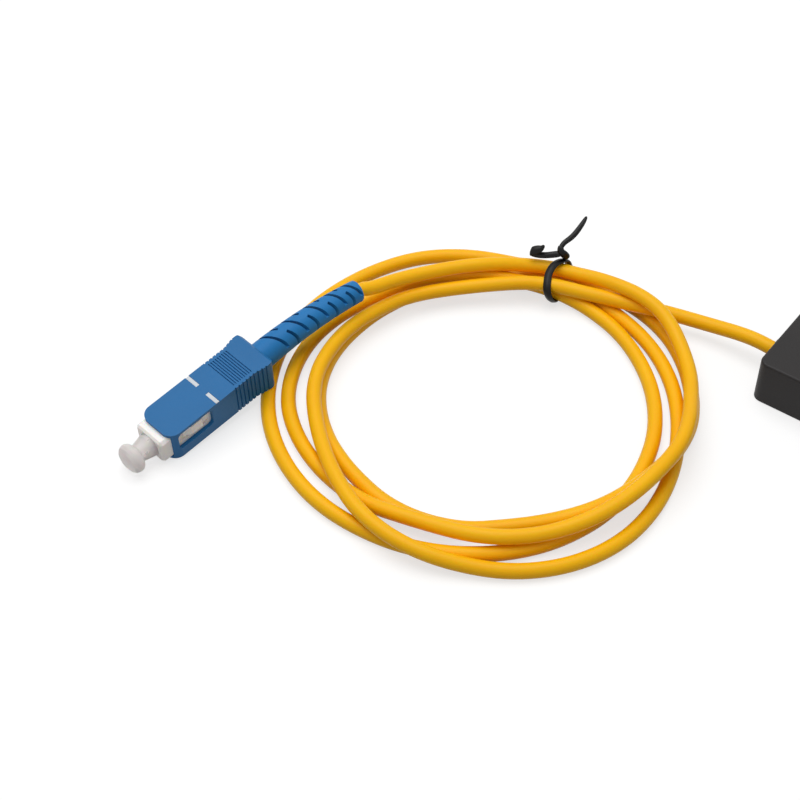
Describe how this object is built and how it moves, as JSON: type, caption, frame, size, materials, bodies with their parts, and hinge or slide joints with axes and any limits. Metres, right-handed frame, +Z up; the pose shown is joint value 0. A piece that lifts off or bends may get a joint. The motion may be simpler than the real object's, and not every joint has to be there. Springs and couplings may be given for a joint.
{
  "type": "fiber optic splitter",
  "caption": "Slim rectangular splitter module with a coiled, tied yellow input cord that ends in a square push-pull plug with boot and dust cap.",
  "frame": {"origin": "centre of the box's underside", "axes": "+X along the box's length from the input end to the outlets, +Z up from the surface it lies on"},
  "size_m": [0.1789, 0.1103, 0.0136],
  "materials": {
    "box_plastic": "moulded ABS, fine matte texture, near black",
    "gland_rubber": "soft black rubber",
    "cord_jacket": "smooth yellow PVC jacket with a soft sheen",
    "tie_plastic": "black plastic-coated wire ribbon",
    "plug_blue": "moulded blue PBT, satin",
    "boot_rubber": "blue elastomer, satin",
    "plug_white": "moulded white plastic",
    "cap_plastic": "milky translucent polyethylene",
    "zirconia": "polished zirconia ceramic",
    "nickel": "nickel-plated, satin",
    "spring_steel": "drawn spring wire",
    "crimp_metal": "nickel-plated brass",
    "tube_steel": "drawn stainless tube",
    "seal_silicone": "translucent white silicone",
    "element_glass": "fused glass element in its quartz half-tube",
    "saddle_rubber": "dark grey silicone rubber",
    "buffer_white": "tight-buffered fibre, white"
  },
  "bodies": {
    "splitter": {"box_tray": "box_plastic", "box_lid": "box_plastic", "inlet_gland": "gland_rubber", "outlet_gland_left": "gland_rubber", "outlet_gland_right": "gland_rubber", "cord_clamp": "nickel", "device_tube": "tube_steel", "seal_input": "seal_silicone", "seal_output": "seal_silicone", "splitter_element": "element_glass", "saddle_input": "saddle_rubber", "saddle_output": "saddle_rubber", "fibre_input": "buffer_white", "fibre_output_left": "buffer_white", "fibre_output_right": "buffer_white", "cord_lead": "cord_jacket", "cord_coil": "cord_jacket", "cord_tail": "cord_jacket", "twist_tie": "tie_plastic", "plug_frame": "plug_white", "ferrule_spring": "spring_steel", "rear_body": "nickel", "crimp_sleeve": "crimp_metal", "boot": "boot_rubber"},
    "grip": {"plug_grip": "plug_blue"},
    "ferrule_assembly": {"ferrule": "zirconia", "ferrule_holder": "nickel"},
    "cap": {"dust_cap": "cap_plastic"}
  },
  "joints": [
    {"name": "grip_slide", "type": "slide", "parent": "splitter", "child": "grip", "axis": [0.1296, 0.9845, 0.1184], "range_m": [0, 0.002]},
    {"name": "ferrule_float", "type": "slide", "parent": "splitter", "child": "ferrule_assembly", "axis": [0.1296, 0.9845, 0.1184], "range_m": [0, 0.001], "stiffness_N_per_m": 5000, "deforming": ["ferrule_spring"]},
    {"name": "cap_pull", "type": "slide", "parent": "ferrule_assembly", "child": "cap", "axis": [-0.1296, -0.9845, -0.1184], "range_m": [0, 0.007]}
  ]
}
